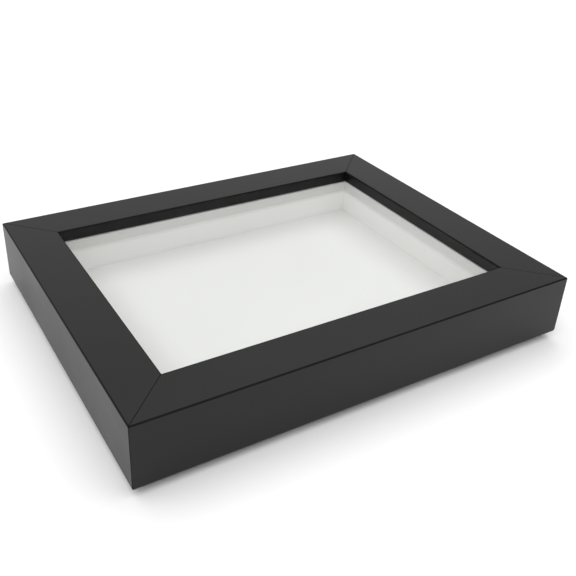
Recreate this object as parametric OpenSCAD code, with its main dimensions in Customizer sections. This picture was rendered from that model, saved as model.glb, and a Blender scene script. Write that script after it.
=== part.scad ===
// Shadow box: a deep, mitred picture frame that lies on its back with its glass up.
// Millimetres. +X is the long side, +Y the side that is up when the box hangs, +Z the glass side.
// The origin is the middle of the plane that the four bumpers rest on.

/* [Frame] */
// Outer length of the frame, along X
frame_l = 214; // [180:1:400]
// Outer width of the frame, along Y
frame_w = 168; // [140:1:320]
// Depth of the rails, from their back to their face
rail_h = 30.5; // [26:0.5:60]
// Width of the rails' face
face_w = 21.5; // [20:0.5:36]
// Thickness of the lip that holds the glass
lip_t = 6; // [3:0.1:8]
// How far the lip reaches over the glass
lip_over = 5; // [4:0.5:6]
// Rounding of the rails' outer back edge
back_edge_r = 2; // [0.5:0.5:4]
// Rounding of the two edges of the rails' face
face_edge_r = 0.6; // [0.2:0.1:1.2]

/* [Sheets] */
// Thickness of the glass
glass_t = 2; // [1.5:0.1:3]
// Thickness of the liner strips that stand between the glass and the display board
liner_t = 4.2; // [2:0.1:4.4]
// Thickness of the display board
board_t = 1.5; // [1:0.1:4]
// Thickness of the back board
back_t = 3; // [2:0.1:4]
// How far the back board lies inside the frame's back
back_recess = 0.3; // [0.1:0.1:1]
// Play around each sheet in the rebate
sheet_gap = 0.3; // [0.1:0.1:0.5]
// Gap between the display board and the liner strips above it
liner_gap = 0.15; // [0.1:0.05:0.3]

/* [Corner nails] */
// Depth of the V-nails in the wood
v_nail_h = 10; // [6:0.5:12]
// Length of each leg of a V-nail
v_nail_leg = 4.2; // [3:0.1:4.5]
// Thickness of a V-nail
v_nail_t = 0.6; // [0.4:0.1:1]

/* [Turn buttons] */
// Distance of the turn buttons from the middle, along X
button_x = 40; // [30:1:50]
// Distance from a turn button's screw to the middle of its tip
button_reach = 13; // [11:0.5:16]
// Radius of a turn button around its screw
button_r = 4.5; // [4:0.1:5]
// Radius of a turn button's tip
button_tip_r = 2.8; // [2:0.1:3.5]
// Thickness of a turn button
button_t = 1; // [0.8:0.1:1.1]
// Gap between a turn button and the wood, and between it and its screw head
button_gap = 0.22; // [0.15:0.01:0.25]

/* [Ring hangers] */
// Distance of the ring hangers' hinges from the middle, along Y
hanger_y = 30; // [20:1:40]
// Width of the hangers' straps
strap_w = 9; // [8:0.5:9]
// Distance from a strap's hinge to its screw
strap_l = 8.5; // [8:0.5:12]
// Thickness of the sheet that a strap is folded from
strap_t = 0.45; // [0.4:0.05:0.5]
// Radius of the rings' wire
wire_r = 0.75; // [0.6:0.05:0.8]
// Radius of the rings' bend, at the middle of the wire
ring_r = 5.5; // [5.2:0.1:6]
// Length of the rings' straight sides
ring_side = 3; // [2:0.5:6]

/* [Screws and bumpers] */
// Radius of the screws' shanks
screw_r = 1.5; // [1.2:0.1:1.6]
// Length of the screws' shanks
screw_l = 9; // [6:0.5:12]
// Radius of the screws' heads
head_r = 2.7; // [2.5:0.1:3.2]
// Height of the screws' heads
head_h = 0.9; // [0.8:0.05:1]
// Radius of the bumpers
bumper_r = 4; // [3:0.5:5]
// Height of the bumpers
bumper_h = 3; // [3:0.1:6]

/* [Hidden] */
$fn = 48;

black = "#232323";
white = "#f2f1ec";
steel = "#b9bcc0";

// Heights, from the plane that the bumpers rest on
back_z = bumper_h;
top_z = back_z + rail_h;
glass_z = top_z - lip_t - glass_t;
back_board_z = back_z + back_recess;
board_z = back_board_z + back_t;
liner_z = board_z + board_t + liner_gap;
liner_h = glass_z - liner_z;

// The rebate behind the lip, and the sheets in it
wall_w = face_w - lip_over;
rebate_l = frame_l - 2 * wall_w;
rebate_w = frame_w - 2 * wall_w;
sheet_l = rebate_l - 2 * sheet_gap;
sheet_w = rebate_w - 2 * sheet_gap;

// Hardware on the frame's back, along the middle of the rails' walls
rail_mid_x = frame_l / 2 - wall_w / 2;
rail_mid_y = frame_w / 2 - wall_w / 2;
button_z = back_z - button_gap - button_t;
bumper_inset = 6; // from the inner corner of the rails' face to the middle of a bumper
bumper_x = frame_l / 2 - face_w - bumper_inset;

// Screws: the play in the plates' holes, and how far the threads bite into the wood
bore_play = 0.08;
thread_bite = 0.2;
screw_bore_r = screw_r + bore_play;
pilot_r = screw_r - thread_bite;
point_l = 2;
point_r = 0.2;

// How far the V-nails' points are from the frame's two outer faces, along the mitre
v_nail_at = [5.2, 10.2];

// Ring hangers
wire_gap = 0.07;
barrel_end_gap = 1;
barrel_r = wire_r + wire_gap + strap_t;
barrel_l = 2 * (ring_r - wire_r - barrel_end_gap);
hinge_z = back_z - barrel_r;
strap_fold_t = 2 * strap_t;

overcut = 1;

// The square corner that rounding an edge takes away, with the corner at the origin
module edge_waste(r) {
    difference() {
        translate([-overcut, -overcut]) square(r + overcut);
        translate([r, r]) circle(r);
    }
}

// A rail's section: x runs inwards from the outer face, y from the back to the face
module rail_section() {
    difference() {
        square([face_w, rail_h]);
        translate([wall_w, -overcut]) square([lip_over + overcut, rail_h - lip_t + overcut]);
        edge_waste(back_edge_r);
        translate([0, rail_h]) mirror([0, 1]) edge_waste(face_edge_r);
        translate([face_w, rail_h]) rotate(180) edge_waste(face_edge_r);
    }
}

// A mitred rail along X, with its outer face at y = -span / 2
module rail(length, span) {
    mitre = face_w + overcut;
    intersection() {
        translate([-length / 2, -span / 2, back_z])
            rotate([90, 0, 90])
                linear_extrude(length) rail_section();
        linear_extrude(top_z + overcut)
            translate([0, -span / 2])
                polygon([
                    [-length / 2, 0], [length / 2, 0],
                    [length / 2 - mitre, mitre], [-length / 2 + mitre, mitre]
                ]);
    }
}

// One V-nail, with its point at the origin and its legs along +X and +Y
module v_nail() {
    linear_extrude(v_nail_h)
        difference() {
            square(v_nail_leg);
            translate([v_nail_t, v_nail_t]) square(v_nail_leg);
        }
}

module v_nails() {
    for (sx = [-1, 1], sy = [-1, 1], d = v_nail_at)
        translate([sx * (frame_l / 2 - d), sy * (frame_w / 2 - d), back_z])
            rotate(sx * sy > 0 ? (sx > 0 ? 180 : 0) : (sx > 0 ? 90 : -90))
                v_nail();
}

// Places its child at each turn button's screw
module at_buttons() {
    for (sx = [-1, 1], sy = [-1, 1])
        translate([sx * button_x, sy * rail_mid_y, 0]) children();
}

// Places its child at each hanger's screw
module at_hanger_screws() {
    for (side = [-1, 1])
        translate([side * rail_mid_x, hanger_y - strap_l, 0]) children();
}

// The pilot holes that the screws are driven into
module pilot_holes() {
    at_buttons()
        translate([0, 0, back_z - overcut]) cylinder(r = pilot_r, h = screw_l + overcut);
    at_hanger_screws()
        translate([0, 0, back_z - overcut]) cylinder(r = pilot_r, h = screw_l + overcut);
}

module frame_rail(turn, length, span) {
    color(black)
        difference() {
            rotate(turn) rail(length, span);
            v_nails();
            pilot_holes();
        }
}

module rail_front() {
    frame_rail(0, frame_l, frame_w);
}

module rail_back() {
    frame_rail(180, frame_l, frame_w);
}

module rail_left() {
    frame_rail(-90, frame_w, frame_l);
}

module rail_right() {
    frame_rail(90, frame_w, frame_l);
}

module corner_v_nails() {
    color(steel) v_nails();
}

// A flat sheet that fills the rebate, with its lower face at z
module sheet(z, thickness) {
    translate([-sheet_l / 2, -sheet_w / 2, z]) cube([sheet_l, sheet_w, thickness]);
}

module glass_pane() {
    color("lightblue", 0.35) sheet(glass_z, glass_t);
}

module display_board() {
    color(white) sheet(board_z, board_t);
}

module back_board() {
    color("#8a6b4a") sheet(back_board_z, back_t);
}

// A liner strip along X, standing against the rebate's wall at y = -span / 2
module liner(length, span) {
    color(white)
        translate([-length / 2, -span / 2, liner_z]) cube([length, liner_t, liner_h]);
}

module liner_front() {
    liner(sheet_l, sheet_w);
}

module liner_back() {
    rotate(180) liner(sheet_l, sheet_w);
}

module liner_left() {
    rotate(-90) liner(sheet_w - 2 * liner_t, sheet_l);
}

module liner_right() {
    rotate(90) liner(sheet_w - 2 * liner_t, sheet_l);
}

// A round end at the origin and a smaller one at x = reach, with straight sides between them
module teardrop(r_big, r_small, reach) {
    hull() {
        circle(r_big, $fn = 32);
        translate([reach, 0]) circle(r_small, $fn = 32);
    }
}

// A turn button on its screw at (sx, sy) of the frame's back. It is turned aside, along the rail,
// which frees the back board; a quarter turn brings its tip over the board.
module turn_button(sx, sy) {
    color(steel)
        translate([sx * button_x, sy * rail_mid_y, button_z])
            rotate(sx > 0 ? 180 : 0)
                difference() {
                    linear_extrude(button_t) teardrop(button_r, button_tip_r, button_reach);
                    translate([0, 0, -overcut]) cylinder(r = screw_bore_r, h = button_t + 2 * overcut);
                }
}

module turn_button_front_left() {
    turn_button(-1, -1);
}

module turn_button_front_right() {
    turn_button(1, -1);
}

module turn_button_back_left() {
    turn_button(-1, 1);
}

module turn_button_back_right() {
    turn_button(1, 1);
}

// A pan-head wood screw that points up, with the underside of its head at the origin
module pan_screw(length) {
    crown = head_h / 2;
    slot_w = 0.7;
    slot_l = 3.2;
    difference() {
        union() {
            cylinder(r = screw_r, h = length - point_l);
            translate([0, 0, length - point_l]) cylinder(r1 = screw_r, r2 = point_r, h = point_l);
            translate([0, 0, -crown]) cylinder(r = head_r, h = crown);
            translate([0, 0, -head_h]) cylinder(r1 = head_r - crown, r2 = head_r, h = crown);
        }
        for (turn = [0, 90])
            rotate(turn)
                translate([-slot_l / 2, -slot_w / 2, -head_h - overcut])
                    cube([slot_l, slot_w, overcut + crown]);
    }
}

module turn_button_screws() {
    color(steel)
        at_buttons() translate([0, 0, button_z - button_gap]) pan_screw(screw_l);
}

module hanger_screws() {
    color(steel)
        at_hanger_screws() translate([0, 0, back_z - strap_fold_t]) pan_screw(screw_l);
}

// A folded strap with its hinge at the origin, along X, and its screw at y = -strap_l
module hanger_strap(side) {
    color(steel)
        translate([side * rail_mid_x, hanger_y, hinge_z])
            difference() {
                union() {
                    rotate([0, 90, 0]) cylinder(r = barrel_r, h = barrel_l, center = true);
                    translate([0, 0, barrel_r - strap_fold_t]) linear_extrude(strap_fold_t) {
                        translate([-barrel_l / 2, -strap_l]) square([barrel_l, strap_l]);
                        translate([0, -strap_l]) circle(strap_w / 2);
                    }
                }
                rotate([0, 90, 0])
                    cylinder(r = wire_r + wire_gap, h = barrel_l + 2 * overcut, center = true);
                translate([0, -strap_l, 0]) cylinder(r = screw_bore_r, h = back_z);
            }
}

module hanger_strap_left() {
    hanger_strap(-1);
}

module hanger_strap_right() {
    hanger_strap(1);
}

// A D-shaped wire ring whose straight bar is the hinge pin, at the origin along X
module hanger_ring(side) {
    color(steel)
        translate([side * rail_mid_x, hanger_y, hinge_z]) {
            rotate([0, 90, 0]) cylinder(r = wire_r, h = 2 * ring_r, center = true);
            for (end = [-1, 1])
                translate([end * ring_r, 0, 0]) {
                    sphere(wire_r);
                    rotate([-90, 0, 0]) cylinder(r = wire_r, h = ring_side);
                }
            translate([0, ring_side, 0])
                rotate_extrude(angle = 180) translate([ring_r, 0]) circle(wire_r);
        }
}

module hanger_ring_left() {
    hanger_ring(-1);
}

module hanger_ring_right() {
    hanger_ring(1);
}

// A round rubber bumper under each end of the front and back rails
module bumpers() {
    round_r = 1;
    color("dimgray")
        for (sx = [-1, 1], sy = [-1, 1])
            translate([sx * bumper_x, sy * rail_mid_y, 0])
                rotate_extrude() {
                    square([bumper_r - round_r, bumper_h]);
                    translate([0, round_r]) square([bumper_r, bumper_h - round_r]);
                    translate([bumper_r - round_r, round_r])
                        intersection() {
                            circle(round_r);
                            translate([0, -round_r]) square(round_r);
                        }
                }
}

rail_front();
rail_back();
rail_left();
rail_right();
corner_v_nails();
glass_pane();
liner_front();
liner_back();
liner_left();
liner_right();
display_board();
back_board();
turn_button_front_left();
turn_button_front_right();
turn_button_back_left();
turn_button_back_right();
turn_button_screws();
hanger_strap_left();
hanger_strap_right();
hanger_ring_left();
hanger_ring_right();
hanger_screws();
bumpers();
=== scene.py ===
"""The looks of a black shadow box: rails, glass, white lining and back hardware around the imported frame."""
import math

import bmesh
import bpy
from mathutils import Matrix, Vector


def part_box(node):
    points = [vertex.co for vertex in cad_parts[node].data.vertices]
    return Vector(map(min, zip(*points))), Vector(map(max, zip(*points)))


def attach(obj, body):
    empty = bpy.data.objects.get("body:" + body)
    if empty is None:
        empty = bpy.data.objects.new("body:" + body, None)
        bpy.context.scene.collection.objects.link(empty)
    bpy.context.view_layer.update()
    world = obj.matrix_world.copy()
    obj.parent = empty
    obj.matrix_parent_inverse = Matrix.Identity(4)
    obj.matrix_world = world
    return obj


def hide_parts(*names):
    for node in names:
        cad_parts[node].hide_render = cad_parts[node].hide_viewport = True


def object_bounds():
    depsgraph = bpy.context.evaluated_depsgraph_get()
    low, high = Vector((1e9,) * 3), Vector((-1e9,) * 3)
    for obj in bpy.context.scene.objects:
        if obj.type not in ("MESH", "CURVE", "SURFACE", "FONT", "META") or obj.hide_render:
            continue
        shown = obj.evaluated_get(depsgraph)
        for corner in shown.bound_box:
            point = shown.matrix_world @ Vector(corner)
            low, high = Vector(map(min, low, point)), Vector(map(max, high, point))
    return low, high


MM = 0.001

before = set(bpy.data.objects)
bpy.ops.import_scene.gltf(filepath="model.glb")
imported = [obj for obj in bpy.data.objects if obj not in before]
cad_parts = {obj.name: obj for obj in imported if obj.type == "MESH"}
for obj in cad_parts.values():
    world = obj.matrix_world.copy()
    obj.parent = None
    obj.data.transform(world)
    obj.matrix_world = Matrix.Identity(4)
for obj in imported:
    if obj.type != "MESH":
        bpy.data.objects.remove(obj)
cad_lo, cad_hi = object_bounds()

# Sizes that the frame gives
rail_lo, rail_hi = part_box("rail_front")
glass_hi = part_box("glass_pane")[1]
LENGTH = rail_hi.x - rail_lo.x
WIDTH = cad_hi.y - cad_lo.y
BACK_Z = rail_lo.z
TOP_Z = rail_hi.z
FACE_W = rail_hi.y - rail_lo.y
SHEET_GAP = 0.3 * MM
WALL_W = LENGTH / 2 - glass_hi.x - SHEET_GAP
LIP_T = TOP_Z - glass_hi.z


# ---------------------------------------------------------------- camera

# A view from above the front left corner, aimed a little behind the middle of the box, with a small roll
AIM = Vector((9.2, 18.3, 16.5)) * MM
DISTANCE = 0.3975
AZIMUTH = math.radians(31.57)
ELEVATION = math.radians(29.50)
ROLL = math.radians(2.34)
LENS = 48.66
SHIFT = (0.03, -0.05)


def make_camera():
    forward = Vector((
        math.sin(AZIMUTH) * math.cos(ELEVATION),
        math.cos(AZIMUTH) * math.cos(ELEVATION),
        -math.sin(ELEVATION),
    ))
    data = bpy.data.cameras.new("camera")
    data.sensor_width = 36
    data.lens = LENS
    data.shift_x, data.shift_y = SHIFT
    data.clip_start = 0.01
    camera = bpy.data.objects.new("camera", data)
    bpy.context.scene.collection.objects.link(camera)
    level = forward.to_track_quat("-Z", "Y").to_matrix()
    turn = level @ Matrix.Rotation(ROLL, 3, "Z")
    camera.matrix_world = Matrix.Translation(AIM - forward * DISTANCE) @ turn.to_4x4()
    bpy.context.scene.camera = camera


# ---------------------------------------------------------------- node helpers

def new_material(name):
    """A material with one Principled shader. Returns its node tree, its shader and the material."""
    material = bpy.data.materials.new(name)
    material.use_nodes = True
    tree = material.node_tree
    return tree, tree.nodes["Principled BSDF"], material


def add(tree, kind, **inputs):
    """A new node with some of its inputs set by name: a socket links, anything else is a value."""
    node = tree.nodes.new(kind)
    for name, value in inputs.items():
        socket = node.inputs[name.replace("_", " ")]
        if isinstance(value, bpy.types.NodeSocket):
            tree.links.new(value, socket)
        else:
            socket.default_value = value
    return node


def coordinates(tree, scale=(1, 1, 1), kind="Object"):
    """Texture coordinates in metres, stretched by scale."""
    source = tree.nodes.new("ShaderNodeTexCoord")
    return add(tree, "ShaderNodeMapping", Vector=source.outputs[kind], Scale=scale).outputs[0]


def noise(tree, vector, scale, detail=3.0, roughness=0.5):
    node = add(tree, "ShaderNodeTexNoise", Vector=vector, Scale=scale, Detail=detail, Roughness=roughness)
    return node.outputs[0]


def remap(tree, value, low, high, start=0.0, end=1.0, kind="LINEAR"):
    """value, taken from the range low to high, spread over start to end."""
    node = tree.nodes.new("ShaderNodeMapRange")
    node.interpolation_type = kind
    tree.links.new(value, node.inputs[0])
    for i, number in enumerate((low, high, start, end)):
        node.inputs[i + 1].default_value = number
    return node.outputs[0]


def ramp(tree, value, stops):
    """A colour ramp through stops, a list of (place, (r, g, b))."""
    node = add(tree, "ShaderNodeValToRGB", Fac=value)
    elements = node.color_ramp.elements
    while len(elements) < len(stops):
        elements.new(0.5)
    for element, (place, colour) in zip(elements, stops):
        element.position = place
        element.color = (*colour, 1)
    return node.outputs[0]


def mix_colours(tree, share, first, second, blend="MIX"):
    """The colour that is share of the way from first to second, or first blended with second."""
    node = tree.nodes.new("ShaderNodeMix")
    node.data_type = "RGBA"
    node.blend_type = blend
    for socket, value in zip((node.inputs[0], node.inputs[6], node.inputs[7]), (share, first, second)):
        if isinstance(value, bpy.types.NodeSocket):
            tree.links.new(value, socket)
        else:
            socket.default_value = value
    return node.outputs[2]


def multiply(tree, first, second):
    return mix_colours(tree, 1.0, first, second, "MULTIPLY")


def bump(tree, height, distance, under=None):
    """A relief of the given depth in metres, on top of the one under it."""
    node = add(tree, "ShaderNodeBump", Height=height, Distance=distance, Strength=1.0)
    if under is not None:
        tree.links.new(under, node.inputs["Normal"])
    return node.outputs[0]


def calculate(tree, operation, *values):
    """A maths node over one or two sockets."""
    node = tree.nodes.new("ShaderNodeMath")
    node.operation = operation
    for value, socket in zip(values, node.inputs):
        tree.links.new(value, socket)
    return node.outputs[0]


def drive(tree, shader, **sockets):
    """Links sockets of a shader by name."""
    for name, value in sockets.items():
        tree.links.new(value, shader.inputs[name.replace("_", " ")])


# ---------------------------------------------------------------- materials

def black_lacquer(name, gloss):
    """Satin black lacquer: almost no colour, a fine orange peel and faint wiping marks along the rail.
    gloss is its refractive index, which is lower where the coat is thin and dry."""
    tree, shader, material = new_material(name)
    peel = noise(tree, coordinates(tree), 900, detail=2)
    dust = noise(tree, coordinates(tree), 5200, detail=1)
    cloud = noise(tree, coordinates(tree), 28, detail=4)
    wiping = noise(tree, coordinates(tree, (25, 700, 1), "UV"), 1.0, detail=3)
    colour = ramp(tree, cloud, [(0.25, (0.0048, 0.0042, 0.0045)), (0.75, (0.0068, 0.0060, 0.0065))])
    satin = remap(tree, cloud, 0.3, 0.7, 0.35, 0.40)
    wiped = remap(tree, wiping, 0.3, 0.7, -0.008, 0.012)
    relief = bump(tree, peel, 0.012 * MM)
    relief = bump(tree, dust, 0.004 * MM, under=relief)
    drive(tree, shader, Base_Color=colour, Normal=relief, Roughness=calculate(tree, "ADD", satin, wiped))
    shader.inputs["IOR"].default_value = gloss
    return material


def bare_wood(edge):
    """Pale unpainted wood with its grain along the rail, and black overspray next to the outer edge,
    which lies at edge along the section's outline."""
    tree, shader, material = new_material("bare_wood")
    grain = noise(tree, coordinates(tree, (14, 420, 1), "UV"), 1.0, detail=6, roughness=0.62)
    wander = noise(tree, coordinates(tree, (9, 60, 1), "UV"), 1.0, detail=2)
    pores = noise(tree, coordinates(tree, (60, 2600, 1), "UV"), 1.0, detail=2)
    colour = ramp(tree, grain, [
        (0.30, (0.34, 0.19, 0.085)),
        (0.50, (0.52, 0.33, 0.17)),
        (0.72, (0.66, 0.47, 0.28)),
    ])
    shade = ramp(tree, wander, [(0.3, (0.86, 0.84, 0.80)), (0.7, (1, 1, 1))])
    colour = multiply(tree, colour, shade)
    pits = ramp(tree, pores, [(0.30, (0.55, 0.48, 0.42)), (0.40, (1, 1, 1))])
    colour = multiply(tree, colour, pits)
    across = tree.nodes.new("ShaderNodeSeparateXYZ")
    tree.links.new(coordinates(tree, kind="UV"), across.inputs[0])
    drift = remap(tree, noise(tree, coordinates(tree), 2600, detail=4), 0.3, 0.7, -0.7 * MM, 0.7 * MM)
    mist = calculate(tree, "ADD", across.outputs["Y"], drift)
    sprayed = remap(tree, mist, edge - 5.5 * MM, edge - 2.5 * MM)
    colour = mix_colours(tree, sprayed, colour, (0.012, 0.0115, 0.012, 1))
    relief = bump(tree, grain, 0.06 * MM)
    relief = bump(tree, pores, 0.03 * MM, under=relief)
    drive(tree, shader, Base_Color=colour, Normal=relief,
          Roughness=remap(tree, grain, 0.3, 0.7, 0.62, 0.78))
    return material


def openness(tree, half_x, half_y, reach):
    """1 in the middle of a board, falling to 0 within reach of the lining's walls, at half_x and half_y."""
    place = tree.nodes.new("ShaderNodeSeparateXYZ")
    tree.links.new(coordinates(tree), place.inputs[0])
    shares = []
    for axis, half in (("X", half_x), ("Y", half_y)):
        away = calculate(tree, "ABSOLUTE", place.outputs[axis])
        shares.append(remap(tree, away, half - reach, half, 1.0, 0.0, kind="SMOOTHSTEP"))
    return calculate(tree, "MULTIPLY", *shares)


def white_board(name, tone, mottle=0.02, open_to=None):
    """Paper-faced board: a matt white with soft fibres and a faint mottle. open_to is the half size of
    the part of it that shows, which gets painted shade, a little darker towards its edges by the lining's
    walls."""
    tree, shader, material = new_material(name)
    fibres = noise(tree, coordinates(tree), 1500, detail=4, roughness=0.7)
    felt = noise(tree, coordinates(tree), 420, detail=3)
    cloud = noise(tree, coordinates(tree), 18, detail=3)
    dark = tuple(c * (1 - mottle) for c in tone)
    colour = ramp(tree, cloud, [(0.3, dark), (0.7, tone)])
    fleck = ramp(tree, fibres, [(0.25, (0.975, 0.97, 0.96)), (0.5, (1, 1, 1))])
    colour = multiply(tree, colour, fleck)
    if open_to:
        # Painted shade: darker within 28 mm of the lining's walls, where their shade falls on the board.
        middle = openness(tree, *open_to, reach=28 * MM)
        painted_wall_shade = ramp(tree, middle, [(0.0, (0.88, 0.877, 0.872)), (1.0, (1, 1, 1))])
        colour = multiply(tree, colour, painted_wall_shade)
    relief = bump(tree, felt, 0.008 * MM)
    relief = bump(tree, fibres, 0.006 * MM, under=relief)
    drive(tree, shader, Base_Color=colour, Normal=relief,
          Roughness=remap(tree, fibres, 0.3, 0.7, 0.78, 0.92))
    shader.inputs["Specular IOR Level"].default_value = 0.3
    return material


def hardboard():
    """Brown pressed fibre board with short fibres and darker flecks."""
    tree, shader, material = new_material("hardboard")
    fibres = noise(tree, coordinates(tree, (1, 1.7, 1)), 900, detail=5, roughness=0.7)
    cloud = noise(tree, coordinates(tree), 35, detail=4)
    flecks = noise(tree, coordinates(tree), 420, detail=2)
    colour = ramp(tree, cloud, [(0.3, (0.21, 0.118, 0.058)), (0.7, (0.29, 0.172, 0.09))])
    streak = ramp(tree, fibres, [(0.3, (0.72, 0.68, 0.64)), (0.6, (1.1, 1.08, 1.05))])
    colour = multiply(tree, colour, streak)
    spots = ramp(tree, flecks, [(0.28, (0.5, 0.42, 0.36)), (0.36, (1, 1, 1))])
    colour = multiply(tree, colour, spots)
    relief = bump(tree, fibres, 0.05 * MM)
    drive(tree, shader, Base_Color=colour, Normal=relief,
          Roughness=remap(tree, fibres, 0.3, 0.7, 0.5, 0.72))
    return material


def clear_glass():
    """Clear float glass. Light from the lamps passes straight through it to the lining."""
    tree, shader, material = new_material("clear_glass")
    shader.inputs["Base Color"].default_value = (0.985, 0.995, 0.99, 1)
    shader.inputs["Transmission Weight"].default_value = 1.0
    shader.inputs["Roughness"].default_value = 0.0
    shader.inputs["IOR"].default_value = 1.5
    passing = add(tree, "ShaderNodeBsdfTransparent", Color=(0.96, 0.965, 0.96, 1))
    rays = tree.nodes.new("ShaderNodeLightPath")
    lamp_or_soft = calculate(tree, "MAXIMUM", rays.outputs["Is Shadow Ray"], rays.outputs["Is Diffuse Ray"])
    join = tree.nodes.new("ShaderNodeMixShader")
    tree.links.new(lamp_or_soft, join.inputs[0])
    tree.links.new(shader.outputs[0], join.inputs[1])
    tree.links.new(passing.outputs[0], join.inputs[2])
    tree.links.new(join.outputs[0], tree.nodes["Material Output"].inputs["Surface"])
    return material


def zinc(name, low, high, roughness):
    """Bright zinc plating over steel: a soft blotchy sheen with rolling marks."""
    tree, shader, material = new_material(name)
    bloom = noise(tree, coordinates(tree), 260, detail=4, roughness=0.6)
    rolling = noise(tree, coordinates(tree, (300, 4500, 300)), 1.0, detail=2)
    colour = ramp(tree, bloom, [(0.3, low), (0.7, high)])
    relief = bump(tree, rolling, 0.006 * MM)
    relief = bump(tree, bloom, 0.008 * MM, under=relief)
    drive(tree, shader, Base_Color=colour, Normal=relief,
          Roughness=remap(tree, bloom, 0.3, 0.7, roughness - 0.06, roughness + 0.08))
    shader.inputs["Metallic"].default_value = 1.0
    return material


def bumper_rubber():
    """Matt dark rubber with a fine moulded texture."""
    tree, shader, material = new_material("bumper_rubber")
    pebble = add(tree, "ShaderNodeTexVoronoi", Vector=coordinates(tree), Scale=3200).outputs[0]
    cloud = noise(tree, coordinates(tree), 300, detail=3)
    colour = ramp(tree, cloud, [(0.3, (0.028, 0.028, 0.03)), (0.7, (0.045, 0.045, 0.048))])
    drive(tree, shader, Base_Color=colour, Normal=bump(tree, pebble, 0.02 * MM),
          Roughness=remap(tree, cloud, 0.3, 0.7, 0.62, 0.76))
    return material


# ---------------------------------------------------------------- mesh helpers

SUPPORT = 0.25 * MM


def finish_piece(name, mesh, body, materials, node, sharp=35.0):
    """Makes a mesh a piece that rides on body and stands for a CAD node."""
    for material in materials:
        mesh.materials.append(material)
    mesh.set_sharp_from_angle(angle=math.radians(sharp))
    for polygon in mesh.polygons:
        polygon.use_smooth = max(map(abs, polygon.normal)) < 0.99999
    piece = bpy.data.objects.new(name, mesh)
    bpy.context.scene.collection.objects.link(piece)
    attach(piece, body)
    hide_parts(node)


def mesh_from(bm, name):
    bmesh.ops.recalc_face_normals(bm, faces=bm.faces)
    mesh = bpy.data.meshes.new(name)
    bm.to_mesh(mesh)
    bm.free()
    return mesh


def arc(centre, radius, start, end, steps):
    """Points along an arc, which runs clockwise from one angle to a lower one, in degrees. A support
    point just past each end keeps the flat sides flat when the mesh is shaded smooth."""
    points = []
    for i in range(steps + 1):
        a = math.radians(start + (end - start) * i / steps)
        points.append(Vector((centre[0] + radius * math.cos(a), centre[1] + radius * math.sin(a))))
    first, last = (
        Vector((math.sin(math.radians(angle)), -math.cos(math.radians(angle)))) * SUPPORT
        for angle in (start, end)
    )
    return [points[0] - first, *points, points[-1] + last]


def slab(lo, hi, ease):
    """A board with eased edges."""
    bm = bmesh.new()
    bmesh.ops.create_cube(bm, size=1.0)
    size = hi - lo
    middle = (lo + hi) / 2
    for v in bm.verts:
        v.co = Vector((v.co.x * size.x, v.co.y * size.y, v.co.z * size.z)) + middle
    bmesh.ops.bevel(bm, geom=bm.edges[:], offset=ease, segments=2, profile=0.5, affect="EDGES")
    return bm


def circle(radius, count):
    angles = [2 * math.pi * i / count for i in range(count)]
    return [Vector((radius * math.cos(a), radius * math.sin(a))) for a in angles]


def level_ring(bm, points, z):
    """Vertices at the points of an outline, at one height."""
    return [bm.verts.new((p.x, p.y, z)) for p in points]


def lathe(bm, profile, steps, centre):
    """Turns a profile of (radius, z) points about a vertical axis. Points on the axis close it."""
    rings = []
    for radius, z in profile:
        points = [centre + p for p in circle(radius, steps if radius else 1)]
        rings.append(level_ring(bm, points, z))
    for first, second in zip(rings, rings[1:]):
        for i in range(steps):
            j = (i + 1) % steps
            corners = [first[i % len(first)], first[j % len(first)],
                       second[j % len(second)], second[i % len(second)]]
            unique = list(dict.fromkeys(corners))
            if len(unique) > 2:
                bm.faces.new(unique)


def smooth_step(value, low, high):
    t = min(1.0, max(0.0, (value - low) / (high - low)))
    return t * t * (3 - 2 * t)


def bridge(bm, rings, closed=False):
    """Faces between one ring of vertices and the next, all with the same count."""
    pairs = list(zip(rings, rings[1:]))
    if closed:
        pairs.append((rings[-1], rings[0]))
    for first, second in pairs:
        for i in range(len(first)):
            j = (i + 1) % len(first)
            bm.faces.new((first[i], first[j], second[j], second[i]))


def distances(points):
    """How far each point of a closed outline lies from the first along it, and last its whole length."""
    walk = [0.0]
    for a, b in zip(points, points[1:] + points[:1]):
        walk.append(walk[-1] + (b - a).length)
    return walk


def inset(points, amount):
    """The same closed outline, moved inwards by amount. The outline runs clockwise."""
    moved = []
    count = len(points)
    for i, point in enumerate(points):
        before = (point - points[i - 1]).normalized()
        after = (points[(i + 1) % count] - point).normalized()
        along = (before + after).normalized()
        moved.append(point + Vector((along.y, -along.x)) * amount)
    return moved


def shrink(points, amount):
    """A closed outline that runs anticlockwise, moved inwards by amount."""
    return inset(points, -amount)


def pierced_plate(bm, outline, hole, low, high, ease):
    """A plate with rounded edges and a round hole. outline and hole have the same number of points."""
    steps = 4
    edge = []
    for k in range(steps + 1):
        a = math.pi / 2 * k / steps
        edge.append((ease * (1 - math.sin(a)), low + ease * (1 - math.cos(a))))
    edge += [(back, low + high - z) for back, z in reversed(edge)]
    rings = [level_ring(bm, shrink(outline, back), z) for back, z in edge]
    middle = [(a + b) / 2 for a, b in zip(shrink(outline, ease), hole)]
    rim = shrink(hole, -ease)
    for points, z in (
        (middle, high), (rim, high), (hole, high - ease), (hole, low + ease), (rim, low), (middle, low),
    ):
        rings.append(level_ring(bm, points, z))
    bridge(bm, rings, closed=True)


def sweep(bm, path, radius, count):
    """A round bar along a closed path in a horizontal plane."""
    rings = []
    for i, point in enumerate(path):
        along = (path[(i + 1) % len(path)] - path[i - 1]).normalized()
        side = Vector((along.y, -along.x, 0))
        section = [side * p.x + Vector((0, 0, p.y)) for p in circle(radius, count)]
        rings.append([bm.verts.new(point + offset) for offset in section])
    bridge(bm, rings, closed=True)


# ---------------------------------------------------------------- rails

OUTER_BACK_R = 2.0 * MM
FACE_EDGE_R = 0.6 * MM
SMALL_R = 0.3 * MM
MITRE_EASE = 0.18 * MM
MITRE_BAND = 0.3 * MM
SPANS = 8
LACQUERED, BARE, DRY = range(3)


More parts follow.
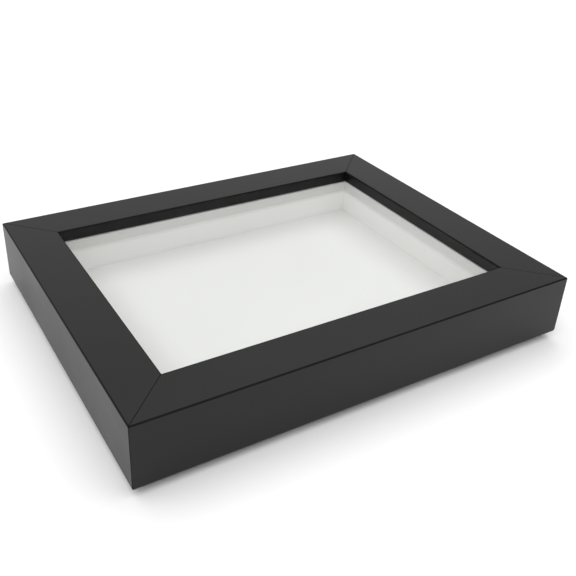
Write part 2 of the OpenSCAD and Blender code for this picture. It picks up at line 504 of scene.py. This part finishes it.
def rail_profile():
    """A rail's outline as points (distance in from the outer face, height above the frame's back),
    and the finish of the side that starts at each point."""
    height = TOP_Z - BACK_Z
    lip_z = height - LIP_T
    back = arc((OUTER_BACK_R, OUTER_BACK_R), OUTER_BACK_R, 270, 180, 10)
    outer = arc((FACE_EDGE_R, height - FACE_EDGE_R), FACE_EDGE_R, 180, 90, 6)
    inner = arc((FACE_W - FACE_EDGE_R, height - FACE_EDGE_R), FACE_EDGE_R, 90, 0, 6)
    lip = arc((FACE_W - SMALL_R, lip_z + SMALL_R), SMALL_R, 0, -90, 3)
    rebate = [Vector((WALL_W, lip_z))]
    rebate += arc((WALL_W - SMALL_R, SMALL_R), SMALL_R, 0, -90, 3)
    points, finishes = [], []
    # A part's flat sides are its first one and its last two. The rest are its bend.
    for part, bend, flat in (
        (back, LACQUERED, LACQUERED), (outer, DRY, LACQUERED), (inner, DRY, LACQUERED),
        (lip, LACQUERED, LACQUERED), (rebate, BARE, BARE),
    ):
        points += part
        finishes += [flat] + [bend] * (len(part) - 3) + [flat, flat]
    return points, finishes


def make_rail(node, turn, length, span, finishes):
    """A mitred rail along X with its outer face towards -Y, then turned about Z into its place.
    finishes are the lacquer, the bare wood and the dry lacquer of its edges."""
    outline, side_finish = rail_profile()
    count = len(outline)
    walk = distances(outline)
    eased = inset(outline, MITRE_EASE)
    mitre = [(eased, 0.0), (outline, MITRE_EASE)]
    # Each station is an outline, its share of the way from the middle (0) to an end (-1 or 1), and
    # its distance back from the mitre.
    stations = [(points, -1, back) for points, back in mitre]
    stations += [(outline, 2 * k / SPANS - 1, MITRE_EASE + MITRE_BAND) for k in range(SPANS + 1)]
    stations += [(points, 1, back) for points, back in reversed(mitre)]
    place = Matrix.Rotation(math.radians(turn), 3, "Z")
    unturned = place.inverted()
    bm = bmesh.new()
    uv = bm.loops.layers.uv.new("grain")
    rings = []
    for points, share, back in stations:
        local = [Vector((share * (length / 2 - p.x - back), p.x - span / 2, BACK_Z + p.y)) for p in points]
        rings.append([bm.verts.new(place @ point) for point in local])
    sides = []
    for first, second in zip(rings, rings[1:]):
        at_mitre = first is rings[0] or second is rings[-1]
        for i in range(count):
            j = (i + 1) % count
            finish = DRY if at_mitre and side_finish[i] != BARE else side_finish[i]
            corners = (first[i], first[j], second[j], second[i])
            sides.append((corners, finish, (walk[i], walk[i + 1], walk[i + 1], walk[i])))
    sides += [(ring, BARE, walk) for ring in (rings[0], rings[-1])]
    for corners, finish, across in sides:
        face = bm.faces.new(corners)
        face.material_index = finish
        for loop, distance in zip(face.loops, across):
            # The turn shifts the grain, so that no two rails have the same.
            loop[uv].uv = ((unturned @ loop.vert.co).x + turn * MM, distance)
    finish_piece(node + "_shaped", mesh_from(bm, node), "case", finishes, node)


def make_rails(finishes):
    make_rail("rail_front", 0, LENGTH, WIDTH, finishes)
    make_rail("rail_right", 90, WIDTH, LENGTH, finishes)
    make_rail("rail_back", 180, LENGTH, WIDTH, finishes)
    make_rail("rail_left", 270, WIDTH, LENGTH, finishes)


# ---------------------------------------------------------------- glass, lining and back

CARD_EASE = 0.06 * MM
HARDBOARD_EASE = 0.3 * MM
GLASS_EASE = 0.35 * MM
# How far the liner strips reach down, to stand on the display board without a gap
LINER_DROP = 0.13 * MM


def make_sheet(node, body, ease, material, lower=0.0):
    """A board or pane in its place, with its lower face moved down by lower."""
    lo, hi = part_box(node)
    lo.z -= lower
    finish_piece(node + "_cut", mesh_from(slab(lo, hi, ease), node), body, [material], node)


# ---------------------------------------------------------------- hardware on the back

# Sizes that the frame's boxes don't give
BUTTON_TIP_R = 2.8 * MM
BUTTON_GAP = 0.22 * MM
BUTTON_EASE = 0.16 * MM
SCREW_R = 1.5 * MM
SCREW_L = 9.0 * MM
POINT_L = 2.0 * MM
POINT_R = 0.2 * MM
HEAD_R = 2.7 * MM
HEAD_H = 0.9 * MM
HEAD_EASE = 0.1 * MM
RECESS_DEPTH = 0.5 * MM
HOLE_R = SCREW_R + 0.08 * MM
WIRE_R = 0.75 * MM
RING_CORNER_R = 1.2 * MM
STRAP_HALF_W = 3.75 * MM
STRAP_EASE = 0.12 * MM
STRAP_LAYER_GAP = 0.03 * MM
BARREL_EASE = 0.1 * MM
SHEET_T = 0.45 * MM
BUMPER_R = 4.0 * MM
NAIL_LEG = 4.2 * MM
NAIL_T = 0.6 * MM
NAIL_SPACING = 5.0 * MM
NAIL_PROUD = 0.05 * MM
NAIL_EASE = 0.08 * MM
PLATE_POINTS = 72


def teardrop(r_big, r_small, reach, count):
    """Anticlockwise points around a round end at the origin and a smaller one at x = reach."""
    lean = math.acos((r_big - r_small) / reach)
    tip_middle = Vector((reach, 0))
    upper = Vector((math.cos(lean), math.sin(lean)))
    lower = Vector((math.cos(lean), -math.sin(lean)))
    tip = count // 3
    side = count // 8
    big = count - tip - 2 * (side - 1)
    points = []
    for i in range(tip):
        a = lean * (2 * i / (tip - 1) - 1)
        points.append(Vector((reach + r_small * math.cos(a), r_small * math.sin(a))))
    for i in range(1, side):
        points.append((tip_middle + upper * r_small).lerp(upper * r_big, i / side))
    for i in range(big):
        a = lean + (2 * math.pi - 2 * lean) * i / (big - 1)
        points.append(Vector((r_big * math.cos(a), r_big * math.sin(a))))
    for i in range(1, side):
        points.append((lower * r_big).lerp(tip_middle + lower * r_small, i / side))
    return points


def facing(points, radius):
    """Points on a circle round the origin, each in the direction of one of the given points."""
    return [point.normalized() * radius for point in points]


def make_button(node, body, material):
    """A stamped turn button. Returns where its screw goes."""
    lo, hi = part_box(node)
    r_big = (hi.y - lo.y) / 2
    reach = hi.x - lo.x - r_big - BUTTON_TIP_R
    points = teardrop(r_big, BUTTON_TIP_R, reach, PLATE_POINTS)
    # The tip's points are drawn in towards the hole, so that they take a fair share of its rim.
    hole = facing([p if p.x < r_big else Vector((r_big, p.y * 0.45)) for p in points], HOLE_R)
    bm = bmesh.new()
    pierced_plate(bm, points, hole, lo.z, hi.z, BUTTON_EASE)
    on_left = hi.x + lo.x < 0
    screw = Vector((lo.x + r_big if on_left else hi.x - r_big, (lo.y + hi.y) / 2, 0))
    turn = Matrix.Rotation(0 if on_left else math.pi, 4, "Z")
    bmesh.ops.transform(bm, matrix=Matrix.Translation(screw) @ turn, verts=bm.verts)
    finish_piece(node + "_stamped", mesh_from(bm, node), body, [material], node)
    return screw


def cross_recess(x, y):
    """How deep a cross recess is at a place on a screw's head, from 0 to 1."""
    deep = 0.0
    for along, across in ((x, y), (y, x)):
        arm = 1 - smooth_step(abs(across), 0.24 * MM, 0.42 * MM)
        reach = 1 - smooth_step(abs(along), 1.2 * MM, 1.65 * MM)
        deep = max(deep, arm * reach)
    return deep


def pan_screw(bm, centre, under):
    """A pan-head screw that points up, with the underside of its head at height under."""
    count = 96
    head_rings = 24
    rings = []
    for k in range(1, head_rings + 1):
        r = HEAD_R * k / head_rings
        crown = HEAD_H * (0.2 + 0.8 * (1 - (r / HEAD_R) ** 4) ** 0.5)
        ring = []
        for p in circle(r, count):
            z = under - crown + RECESS_DEPTH * cross_recess(p.x, p.y)
            ring.append(bm.verts.new((centre.x + p.x, centre.y + p.y, z)))
        rings.append(ring)
    shank = [(HEAD_R - HEAD_EASE, 0), (SCREW_R, 0), (SCREW_R, SCREW_L - POINT_L), (POINT_R, SCREW_L)]
    for r, up in shank:
        rings.append(level_ring(bm, [p + centre.xy for p in circle(r, count)], under + up))
    bridge(bm, rings)
    bm.faces.new(rings[0])
    bm.faces.new(rings[-1])


def make_screws(node, centres, under, material):
    bm = bmesh.new()
    for centre in centres:
        pan_screw(bm, centre, under)
    finish_piece(node + "_turned", mesh_from(bm, node), "case", [material], node, sharp=50)


def make_ring(side, material):
    """A D-shaped wire ring with rounded corners. Returns the middle of its straight bar."""
    node = "hanger_ring_" + side
    lo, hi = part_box(node)
    bend = (hi.x - lo.x) / 2 - WIRE_R
    bar = Vector(((lo.x + hi.x) / 2, lo.y + WIRE_R, (lo.z + hi.z) / 2))
    straight = hi.y - lo.y - 2 * WIRE_R - bend
    half_bar = bend - RING_CORNER_R
    flat = []
    for cx, cy, r, start, end, steps in (
        (half_bar, RING_CORNER_R, RING_CORNER_R, -90, 0, 8),
        (0, straight, bend, 0, 180, 36),
        (-half_bar, RING_CORNER_R, RING_CORNER_R, 180, 270, 8),
    ):
        for i in range(steps + 1):
            a = math.radians(start + (end - start) * i / steps)
            flat.append(Vector((cx + r * math.cos(a), cy + r * math.sin(a), 0)))
    flat += [Vector((half_bar * (i / 3 - 1), 0, 0)) for i in range(1, 6)]
    bm = bmesh.new()
    sweep(bm, [bar + p for p in flat], WIRE_R, 20)
    finish_piece(node + "_bent", mesh_from(bm, node), "ring_" + side, [material], node, sharp=60)
    return bar


def strap_outline(half, radius, length, count):
    """Anticlockwise points of a strap with its hinge at y = 0 and a round end about y = -length."""
    meet = math.asin(math.sqrt(radius ** 2 - half ** 2) / radius)
    around = count * 2 // 3
    points = []
    for i in range(around):
        a = math.pi - meet + (math.pi + 2 * meet) * i / (around - 1)
        points.append(Vector((radius * math.cos(a), -length + radius * math.sin(a))))
    neck = Vector((half, points[-1].y))
    straight = (count - around) // 3
    points += [neck.lerp(Vector((half, 0)), i / straight) for i in range(1, straight)]
    across = count - around - 2 * (straight - 1)
    points += [Vector((half - 2 * half * i / (across - 1), 0)) for i in range(across)]
    points += [Vector((-half, 0)).lerp(Vector((-half, neck.y)), i / straight) for i in range(1, straight)]
    return points


def make_strap(side, bar, material):
    """A strap folded over the ring's bar: a rolled barrel and two layers of sheet, with a screw hole.
    Returns where its screw goes."""
    node = "hanger_strap_" + side
    lo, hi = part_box(node)
    end_r = (hi.x - lo.x) / 2
    length = bar.y - lo.y - end_r
    barrel_r = hi.y - bar.y
    outline = strap_outline(STRAP_HALF_W, end_r, length, PLATE_POINTS)
    to_hole = Vector((0, -length))
    hole = [to_hole + p for p in facing([p - to_hole for p in outline], HOLE_R)]
    bm = bmesh.new()
    for top in (hi.z, hi.z - SHEET_T):
        pierced_plate(bm, outline, hole, top - SHEET_T + STRAP_LAYER_GAP, top, STRAP_EASE)
    bmesh.ops.translate(bm, verts=bm.verts, vec=(bar.x, bar.y, 0))
    left_end = [
        (-STRAP_HALF_W, barrel_r - SHEET_T),
        (-STRAP_HALF_W, barrel_r - BARREL_EASE),
        (-STRAP_HALF_W + BARREL_EASE, barrel_r),
    ]
    rings = []
    for x, r in left_end + [(-x, r) for x, r in reversed(left_end)]:
        rings.append([bm.verts.new((bar.x + x, bar.y + p.x, bar.z + p.y)) for p in circle(r, 40)])
    bridge(bm, rings, closed=True)
    finish_piece(node + "_folded", mesh_from(bm, node), "case", [material], node)
    return Vector((bar.x, bar.y - length, 0))


def make_bumpers(material):
    """Soft rubber bumpers with a rounded rim and a shallow dimple."""
    lo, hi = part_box("bumpers")
    # From the dimple's middle to the side: shares of the radius, and heights in millimetres
    rim = [(0.0, 0.25), (0.25, 0.24), (0.45, 0.12), (0.6, 0.0), (0.74, 0.0), (0.86, 0.08),
           (0.95, 0.28), (0.985, 0.6), (1.0, 1.0)]
    profile = [(BUMPER_R * share, lo.z + up * MM) for share, up in rim] + [(BUMPER_R, hi.z), (0.0, hi.z)]
    bm = bmesh.new()
    for x in (lo.x + BUMPER_R, hi.x - BUMPER_R):
        for y in (lo.y + BUMPER_R, hi.y - BUMPER_R):
            lathe(bm, profile, 48, Vector((x, y)))
    finish_piece("bumpers_moulded", mesh_from(bm, "bumpers"), "case", [material], "bumpers", sharp=50)


def v_nail(bm, at, sx, sy, low, high):
    """An angled steel strip from height low to high, with its point at a place. Its legs run from there
    towards the middle of the box, away from its corner (sx, sy)."""
    outline = (
        (0, 0), (NAIL_LEG, 0), (NAIL_LEG, NAIL_T), (NAIL_T, NAIL_T), (NAIL_T, NAIL_LEG), (0, NAIL_LEG),
    )
    points = [Vector((at.x - sx * x, at.y - sy * y)) for x, y in outline]
    rings = [level_ring(bm, points, z) for z in (low, high)]
    bridge(bm, rings)
    for ring in rings:
        bm.faces.new(ring)


def make_nails(material):
    """Two steel V-nails across each mitre, driven until their edges are almost flush with the wood."""
    node = "corner_v_nails"
    lo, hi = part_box(node)
    bm = bmesh.new()
    for sx in (-1, 1):
        for sy in (-1, 1):
            corner = Vector((hi.x if sx > 0 else lo.x, hi.y if sy > 0 else lo.y, 0))
            for k in range(2):
                at = corner - Vector((sx, sy, 0)) * NAIL_SPACING * k
                v_nail(bm, at, sx, sy, lo.z - NAIL_PROUD, hi.z)
    bmesh.ops.recalc_face_normals(bm, faces=bm.faces)
    bmesh.ops.bevel(bm, geom=bm.edges[:], offset=NAIL_EASE, segments=2, profile=0.5, affect="EDGES")
    finish_piece(node + "_driven", mesh_from(bm, node), "case", [material], node)


def make_hardware(plating, heads, nails, rubber):
    screws = []
    for end in ("front", "back"):
        for side in ("left", "right"):
            tail = end + "_" + side
            screws.append(make_button("turn_button_" + tail, "button_" + tail, plating))
    button_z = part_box("turn_button_front_left")[0].z
    make_screws("turn_button_screws", screws, button_z - BUTTON_GAP, heads)
    screws = []
    for side in ("left", "right"):
        bar = make_ring(side, plating)
        screws.append(make_strap(side, bar, plating))
    strap_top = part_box("hanger_strap_left")[1].z
    make_screws("hanger_screws", screws, strap_top - 2 * SHEET_T, heads)
    make_bumpers(rubber)
    make_nails(nails)


# ---------------------------------------------------------------- floor and light

def make_floor():
    tree, shader, material = new_material("pale_floor")
    cloud = noise(tree, coordinates(tree), 3, detail=3)
    tone = ramp(tree, cloud, [(0.3, (0.885, 0.885, 0.885)), (0.7, (0.9, 0.9, 0.9))])
    drive(tree, shader, Base_Color=tone)
    shader.inputs["Roughness"].default_value = 0.85
    shader.inputs["Specular IOR Level"].default_value = 0.2
    bm = bmesh.new()
    bmesh.ops.create_grid(bm, x_segments=1, y_segments=1, size=4.0)
    mesh = bpy.data.meshes.new("floor")
    bm.to_mesh(mesh)
    bm.free()
    mesh.materials.append(material)
    floor = bpy.data.objects.new("floor", mesh)
    bpy.context.scene.collection.objects.link(floor)


def softbox(name, place, size, power):
    """A square lamp that faces the object."""
    data = bpy.data.lights.new(name, "AREA")
    data.shape = "SQUARE"
    data.size = size
    data.energy = power
    lamp = bpy.data.objects.new(name, data)
    bpy.context.scene.collection.objects.link(lamp)
    lamp.location = place
    lamp.rotation_mode = "QUATERNION"
    lamp.rotation_quaternion = (-Vector(place)).to_track_quat("-Z", "Y")


def make_world():
    """A pale room with a darker patch high up, towards the front right."""
    world = bpy.data.worlds.new("room")
    bpy.context.scene.world = world
    world.use_nodes = True
    tree = world.node_tree
    background = tree.nodes["Background"]
    direction = tree.nodes.new("ShaderNodeTexCoord").outputs["Generated"]
    towards = tree.nodes.new("ShaderNodeVectorMath")
    towards.operation = "DOT_PRODUCT"
    tree.links.new(direction, towards.inputs[0])
    towards.inputs[1].default_value = Vector((0.5, -0.35, 0.8)).normalized()
    share = remap(tree, towards.outputs["Value"], 0.45, 0.85)
    pale, dark = (0.72, 0.72, 0.72, 1), (0.065, 0.065, 0.065, 1)
    colour = mix_colours(tree, share, pale, dark)
    tree.links.new(colour, background.inputs["Color"])


def set_options():
    scene = bpy.context.scene
    scene.view_settings.view_transform = "Standard"
    scene.view_settings.look = "None"
    scene.cycles.max_bounces = 16
    scene.cycles.transparent_max_bounces = 16
    scene.cycles.sample_clamp_indirect = 4.0


# ---------------------------------------------------------------- the scene

make_camera()
lacquer = black_lacquer("black_lacquer", gloss=1.355)
dry_edge = black_lacquer("black_lacquer_edge", gloss=1.18)
# A rail's section starts and ends at its outer back edge, so its whole length is where that edge is.
section, _ = rail_profile()
make_rails([lacquer, bare_wood(edge=distances(section)[-1]), dry_edge])

lining = white_board("liner_board", (0.85, 0.842, 0.832))
for side in ("front", "back", "left", "right"):
    make_sheet("liner_" + side, "case", CARD_EASE, lining, lower=LINER_DROP)
# The display board gets painted shade near the lining's walls, whose inner faces stand at shown.
shown = (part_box("liner_right")[0].x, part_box("liner_back")[0].y)
board = white_board("display_board", (0.745, 0.739, 0.731), open_to=shown)
make_sheet("display_board", "back", CARD_EASE, board)
make_sheet("back_board", "back", HARDBOARD_EASE, hardboard())
make_sheet("glass_pane", "case", GLASS_EASE, clear_glass())

plating = zinc("zinc_plate", (0.52, 0.53, 0.55), (0.68, 0.69, 0.70), 0.34)
heads = zinc("screw_steel", (0.50, 0.50, 0.51), (0.64, 0.64, 0.65), 0.28)
nails = zinc("nail_steel", (0.34, 0.34, 0.35), (0.48, 0.48, 0.49), 0.42)
make_hardware(plating, heads, nails, bumper_rubber())

make_floor()
softbox("key", place=(0.1, -0.6, 4.0), size=8.0, power=322.0)
make_world()
set_options()
